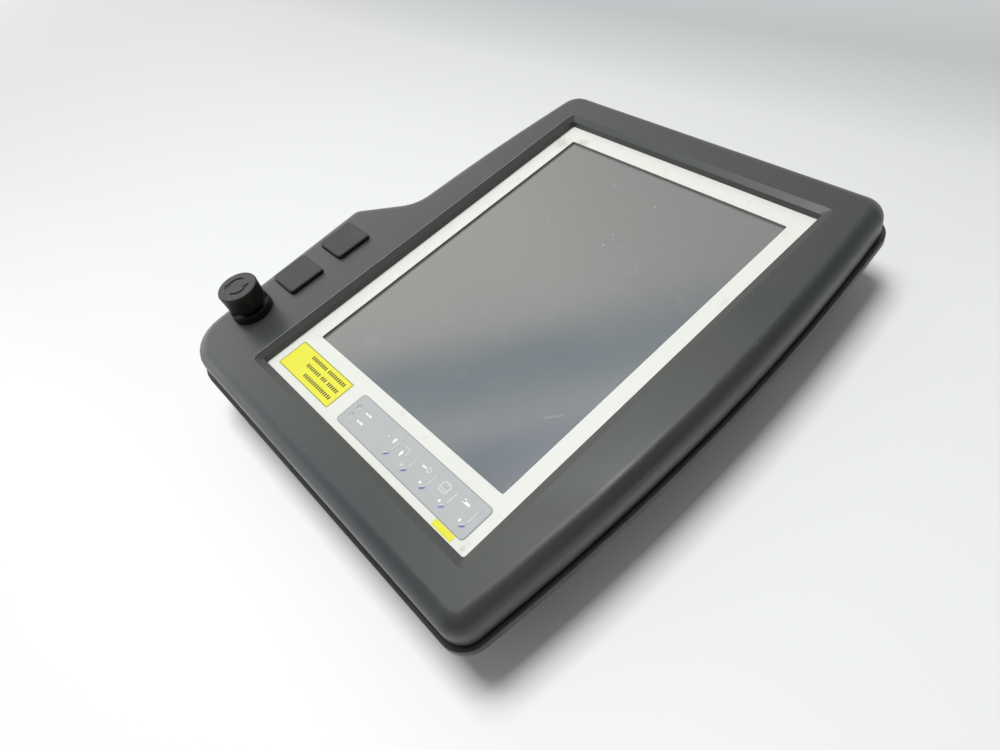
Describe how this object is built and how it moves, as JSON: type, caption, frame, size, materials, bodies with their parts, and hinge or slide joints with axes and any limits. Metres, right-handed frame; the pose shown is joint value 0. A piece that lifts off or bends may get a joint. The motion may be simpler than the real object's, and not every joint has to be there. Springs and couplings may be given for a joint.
{
  "type": "teach pendant",
  "caption": "Handheld teach pendant: touch screen in a wide moulded frame, foil key strip, stop button and push buttons on a raised corner, rear tray with enabling paddle and cable inlet.",
  "frame": {"origin": "on the surface that the rear feet stand on, below the middle of the outline's bounding rectangle", "axes": "+X along the long side, away from the key strip; +Y towards the edge with the stop button; +Z out of the screen"},
  "size_m": [0.3186, 0.2898, 0.0786],
  "materials": {
    "frame_plastic": "fine grained moulded plastic, dark grey",
    "tray_plastic": "fine grained moulded plastic, darker grey",
    "seal_rubber": "moulded black rubber",
    "plate_paint": "satin off-white paint on sheet aluminium",
    "touch_glass": "satin touch glass over a dark display",
    "sheet_steel": "plated sheet steel",
    "display_case": "silver grey case",
    "screw_steel": "zinc plated",
    "board_green": "circuit board with solder resist",
    "brass": "turned brass",
    "aluminium": "extruded",
    "black_plastic": "black moulded plastic",
    "battery_sleeve": "plain shrink sleeve",
    "ribbon": "flat cable",
    "key_foil": "printed polyester film, fine matt",
    "knob_plastic": "dark grey moulded plastic",
    "cap_rubber": "dark grey soft-touch rubber",
    "paddle_plastic": "mid grey moulded plastic",
    "inlet_metal": "satin nickel plated",
    "yellow_film": "plain yellow adhesive film"
  },
  "bodies": {
    "housing": {"front_shell": "frame_plastic", "rear_shell": "tray_plastic", "housing_seal": "seal_rubber", "front_plate": "plate_paint", "screen_gasket": "seal_rubber", "touch_panel": "touch_glass", "lcd_module": "display_case", "display_frame": "sheet_steel", "display_screws": "screw_steel", "main_board": "board_green", "board_standoffs": "brass", "heat_sink": "aluminium", "board_connectors": "black_plastic", "buffer_battery": "battery_sleeve", "interface_board": "board_green", "interface_posts": "screw_steel", "display_cable": "ribbon", "inlet_harness": "seal_rubber", "key_foil": "key_foil", "key_circuit": "board_green", "key_domes": "screw_steel", "stop_collar": "black_plastic", "stop_gasket": "seal_rubber", "stop_nut": "screw_steel", "stop_contact_block": "black_plastic", "stop_spring": "screw_steel", "button_switches": "black_plastic", "button_board": "board_green", "button_board_screws": "screw_steel", "enabling_switch": "black_plastic", "cable_inlet": "inlet_metal", "inlet_insert": "black_plastic", "inlet_pins": "brass", "inlet_screws": "screw_steel", "service_cover": "tray_plastic", "cover_screws": "screw_steel", "housing_screws": "screw_steel", "rubber_feet": "seal_rubber", "yellow_label": "yellow_film", "strip_sticker": "yellow_film"},
    "key_1_pad": {"key_1": "key_foil"},
    "key_2_pad": {"key_2": "key_foil"},
    "key_3_pad": {"key_3": "key_foil"},
    "key_4_pad": {"key_4": "key_foil"},
    "key_5_pad": {"key_5": "key_foil"},
    "stop_stem": {"stop_plunger": "black_plastic"},
    "stop_head": {"stop_knob": "knob_plastic"},
    "left_button": {"button_cap_left": "cap_rubber"},
    "right_button": {"button_cap_right": "cap_rubber"},
    "paddle": {"enabling_paddle": "paddle_plastic"}
  },
  "joints": [
    {"name": "stop_press", "type": "slide", "parent": "housing", "child": "stop_stem", "axis": [0, 0, -1], "range_m": [0, 0.0042], "deforming": ["stop_spring"]},
    {"name": "stop_twist", "type": "hinge", "parent": "stop_stem", "child": "stop_head", "pos_m": [-0.1132, 0.11707, 0.07], "axis": [0, 0, -1], "range_deg": [0, 40], "stiffness_Nm_per_rad": 0.03},
    {"name": "left_button_press", "type": "slide", "parent": "housing", "child": "left_button", "axis": [0, 0, -1], "range_m": [0, 0.0018], "stiffness_N_per_m": 900},
    {"name": "right_button_press", "type": "slide", "parent": "housing", "child": "right_button", "axis": [0, 0, -1], "range_m": [0, 0.0018], "stiffness_N_per_m": 900},
    {"name": "paddle_squeeze", "type": "slide", "parent": "housing", "child": "paddle", "axis": [1, 0, 0], "range_m": [0, 0.0045], "stiffness_N_per_m": 1200},
    {"name": "key_1_press", "type": "slide", "parent": "housing", "child": "key_1_pad", "axis": [0, 0, -1], "range_m": [0, 0.00035], "stiffness_N_per_m": 3000},
    {"name": "key_2_press", "type": "slide", "parent": "housing", "child": "key_2_pad", "axis": [0, 0, -1], "range_m": [0, 0.00035], "stiffness_N_per_m": 3000},
    {"name": "key_3_press", "type": "slide", "parent": "housing", "child": "key_3_pad", "axis": [0, 0, -1], "range_m": [0, 0.00035], "stiffness_N_per_m": 3000},
    {"name": "key_4_press", "type": "slide", "parent": "housing", "child": "key_4_pad", "axis": [0, 0, -1], "range_m": [0, 0.00035], "stiffness_N_per_m": 3000},
    {"name": "key_5_press", "type": "slide", "parent": "housing", "child": "key_5_pad", "axis": [0, 0, -1], "range_m": [0, 0.00035], "stiffness_N_per_m": 3000}
  ]
}
